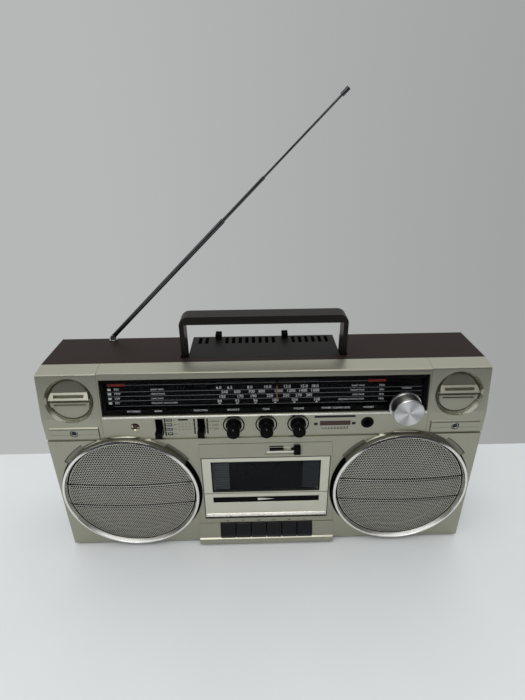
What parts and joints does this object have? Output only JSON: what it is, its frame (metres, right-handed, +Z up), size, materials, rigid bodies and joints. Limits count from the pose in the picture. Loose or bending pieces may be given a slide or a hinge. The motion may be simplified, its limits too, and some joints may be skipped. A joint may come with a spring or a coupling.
{
  "type": "portable radio cassette player",
  "caption": "Wide portable stereo radio cassette player with round grilles, a tuning dial, a cassette door over piano keys, a folding carry handle and a telescopic aerial.",
  "frame": {"origin": "on the floor under the middle of the part's box", "axes": "+X to the right of a viewer facing the front, +Y from the front panel to the back, +Z up"},
  "size_m": [0.43, 0.0974, 0.4499],
  "materials": {
    "silver_plastic": "champagne silver satin paint",
    "brown_plastic": "dark brown fine texture",
    "black_plastic": "satin black",
    "dial_black": "black printed plate",
    "clear_plastic": "clear polished",
    "smoked_plastic": "smoked clear",
    "red_plastic": "red",
    "white_plastic": "off-white",
    "cord": "woven cord",
    "bright_ring": "bright satin",
    "silver_mesh": "perforated, silver paint",
    "spun_aluminium": "spun and polished",
    "chrome": "polished",
    "steel": "plated",
    "dark_steel": "dark plated",
    "paper_cone": "pressed paper",
    "brass": "turned",
    "rubber": "matt",
    "board": "phenolic laminate"
  },
  "bodies": {
    "cabinet": {"front_cabinet": "silver_plastic", "corner_panel_left": "silver_plastic", "corner_panel_right": "silver_plastic", "rear_cabinet": "brown_plastic", "battery_contacts": "steel", "top_grille": "black_plastic", "feet": "rubber", "screws": "steel", "mains_inlet": "black_plastic", "dial_scale": "dial_black", "dial_lens": "clear_plastic", "dial_cord": "cord", "control_pots": "steel", "level_meter": "red_plastic", "phones_jack": "black_plastic", "stereo_lamp": "red_plastic", "circuit_board": "board", "power_transformer": "dark_steel", "microphones": "black_plastic", "speaker_ring_left": "bright_ring", "speaker_ring_right": "bright_ring", "speaker_grille_left": "silver_mesh", "speaker_grille_right": "silver_mesh", "woofer_frames": "dark_steel", "woofer_cones": "paper_cone", "tweeters": "silver_plastic", "tape_deck": "black_plastic", "tape_motor": "steel", "drive_belt": "rubber", "key_base": "silver_plastic"},
    "battery_cover": {"battery_cover": "brown_plastic"},
    "dial_pointer": {"dial_pointer": "red_plastic"},
    "dial_drum": {"dial_drum": "white_plastic"},
    "tuning_control": {"tuning_knob": "spun_aluminium", "tuning_shaft": "steel"},
    "balance_control": {"balance_knob": "black_plastic"},
    "tone_control": {"tone_knob": "black_plastic"},
    "volume_control": {"volume_knob": "black_plastic"},
    "band_lever": {"band_lever": "black_plastic"},
    "function_lever": {"function_lever": "black_plastic"},
    "tape_lever": {"tape_lever": "black_plastic"},
    "cassette_door": {"cassette_door": "silver_plastic", "door_window": "smoked_plastic"},
    "motor_pulley": {"motor_pulley": "brass"},
    "flywheel": {"flywheel": "steel"},
    "supply_reel": {"supply_reel": "black_plastic"},
    "takeup_reel": {"takeup_reel": "black_plastic"},
    "head_plate": {"head_plate": "steel"},
    "pinch_roller": {"pinch_roller": "rubber"},
    "record_key": {"record_key": "black_plastic"},
    "play_key": {"play_key": "black_plastic"},
    "rewind_key": {"rewind_key": "black_plastic"},
    "forward_key": {"forward_key": "black_plastic"},
    "stop_key": {"stop_key": "black_plastic"},
    "pause_key": {"pause_key": "black_plastic"},
    "handle": {"handle": "black_plastic"},
    "antenna_base": {"antenna_base": "chrome"},
    "antenna_lower": {"antenna_tube_lower": "chrome"},
    "antenna_middle": {"antenna_tube_middle": "chrome"},
    "antenna_upper": {"antenna_tube_upper": "chrome"}
  },
  "joints": [
    {"name": "handle_fold", "type": "hinge", "parent": "cabinet", "child": "handle", "pos_m": [0, 0.00925, 0.2073], "axis": [-1, 0, 0], "range_deg": [0, 90]},
    {"name": "antenna_swivel", "type": "hinge", "parent": "cabinet", "child": "antenna_base", "pos_m": [-0.1595, 0.04415, 0.2167], "axis": [0, 0, 1], "continuous": true},
    {"name": "antenna_tilt", "type": "hinge", "parent": "antenna_base", "child": "antenna_lower", "pos_m": [-0.1595, 0.04415, 0.2208], "axis": [0, -1, 0], "range_deg": [-44.2, 45.8]},
    {"name": "antenna_middle_slide", "type": "slide", "parent": "antenna_lower", "child": "antenna_middle", "axis": [0.7169, 0, 0.6972], "range_m": [-0.0545, 0.075]},
    {"name": "antenna_upper_slide", "type": "slide", "parent": "antenna_middle", "child": "antenna_upper", "axis": [0.7169, 0, 0.6972], "range_m": [-0.0925, 0.03]},
    {"name": "tuning_turn", "type": "hinge", "parent": "cabinet", "child": "tuning_control", "pos_m": [0.1336, -0.03325, 0.179], "axis": [0, 1, 0], "range_deg": [-550, 389]},
    {"name": "pointer_slide", "type": "slide", "parent": "cabinet", "child": "dial_pointer", "axis": [1, 0, 0], "range_m": [-0.0615, 0.0435]},
    {"name": "drum_turn", "type": "hinge", "parent": "cabinet", "child": "dial_drum", "pos_m": [-0.138, -0.01875, 0.176], "axis": [0, 1, 0], "range_deg": [-380, 270]},
    {"name": "balance_turn", "type": "hinge", "parent": "cabinet", "child": "balance_control", "pos_m": [-0.031, -0.03325, 0.1593], "axis": [0, 1, 0], "range_deg": [-145, 145]},
    {"name": "tone_turn", "type": "hinge", "parent": "cabinet", "child": "tone_control", "pos_m": [0.0007, -0.03325, 0.1593], "axis": [0, 1, 0], "range_deg": [-145, 145]},
    {"name": "volume_turn", "type": "hinge", "parent": "cabinet", "child": "volume_control", "pos_m": [0.0318, -0.03325, 0.1593], "axis": [0, 1, 0], "range_deg": [-145, 145]},
    {"name": "band_slide", "type": "slide", "parent": "cabinet", "child": "band_lever", "axis": [0, 0, 1], "range_m": [0, 0.0105]},
    {"name": "function_slide", "type": "slide", "parent": "cabinet", "child": "function_lever", "axis": [0, 0, 1], "range_m": [0, 0.0105]},
    {"name": "tape_slide", "type": "slide", "parent": "cabinet", "child": "tape_lever", "axis": [1, 0, 0], "range_m": [-0.024, 0]},
    {"name": "door_hinge", "type": "hinge", "parent": "cabinet", "child": "cassette_door", "pos_m": [0, -0.02805, 0.0396], "axis": [1, 0, 0], "range_deg": [0, 25]},
    {"name": "record_press", "type": "hinge", "parent": "cabinet", "child": "record_key", "pos_m": [0, -0.03505, 0.008], "axis": [-1, 0, 0], "range_deg": [0, 10], "stiffness_Nm_per_rad": 0.4, "springref_deg": -2.29},
    {"name": "play_press", "type": "hinge", "parent": "cabinet", "child": "play_key", "pos_m": [0, -0.03505, 0.008], "axis": [-1, 0, 0], "range_deg": [0, 10], "stiffness_Nm_per_rad": 0.4, "springref_deg": -2.29},
    {"name": "rewind_press", "type": "hinge", "parent": "cabinet", "child": "rewind_key", "pos_m": [0, -0.03505, 0.008], "axis": [-1, 0, 0], "range_deg": [0, 10], "stiffness_Nm_per_rad": 0.4, "springref_deg": -2.29},
    {"name": "forward_press", "type": "hinge", "parent": "cabinet", "child": "forward_key", "pos_m": [0, -0.03505, 0.008], "axis": [-1, 0, 0], "range_deg": [0, 10], "stiffness_Nm_per_rad": 0.4, "springref_deg": -2.29},
    {"name": "stop_press", "type": "hinge", "parent": "cabinet", "child": "stop_key", "pos_m": [0, -0.03505, 0.008], "axis": [-1, 0, 0], "range_deg": [0, 10], "stiffness_Nm_per_rad": 0.4, "springref_deg": -2.29},
    {"name": "pause_press", "type": "hinge", "parent": "cabinet", "child": "pause_key", "pos_m": [0, -0.03505, 0.008], "axis": [-1, 0, 0], "range_deg": [0, 10], "stiffness_Nm_per_rad": 0.4, "springref_deg": -2.29},
    {"name": "head_slide", "type": "slide", "parent": "cabinet", "child": "head_plate", "axis": [0, 0, 1], "range_m": [0, 0.005]},
    {"name": "pinch_turn", "type": "hinge", "parent": "head_plate", "child": "pinch_roller", "pos_m": [0.016, -0.01965, 0.0443], "axis": [0, 1, 0], "continuous": true},
    {"name": "flywheel_turn", "type": "hinge", "parent": "cabinet", "child": "flywheel", "pos_m": [0.016, -0.00525, 0.056], "axis": [0, 1, 0], "continuous": true},
    {"name": "pulley_turn", "type": "hinge", "parent": "cabinet", "child": "motor_pulley", "pos_m": [-0.028, -0.00475, 0.1], "axis": [0, 1, 0], "continuous": true},
    {"name": "takeup_turn", "type": "hinge", "parent": "cabinet", "child": "takeup_reel", "pos_m": [0.02125, -0.01625, 0.083], "axis": [0, 1, 0], "continuous": true},
    {"name": "supply_turn", "type": "hinge", "parent": "cabinet", "child": "supply_reel", "pos_m": [-0.02125, -0.01625, 0.083], "axis": [0, 1, 0], "continuous": true},
    {"name": "cover_hinge", "type": "hinge", "parent": "cabinet", "child": "battery_cover", "pos_m": [0, 0.04715, 0.0109], "axis": [-1, 0, 0], "range_deg": [0, 75]}
  ],
  "couplings": [
    {"joint": "pointer_slide", "follows": "tuning_turn", "m_per_rad": 0.0064},
    {"joint": "drum_turn", "follows": "tuning_turn", "ratio": 0.6809},
    {"joint": "head_slide", "follows": "play_press", "m_per_rad": 0.0275},
    {"joint": "pulley_turn", "follows": "flywheel_turn", "ratio": 4.913},
    {"joint": "takeup_turn", "follows": "flywheel_turn", "ratio": 0.055}
  ]
}
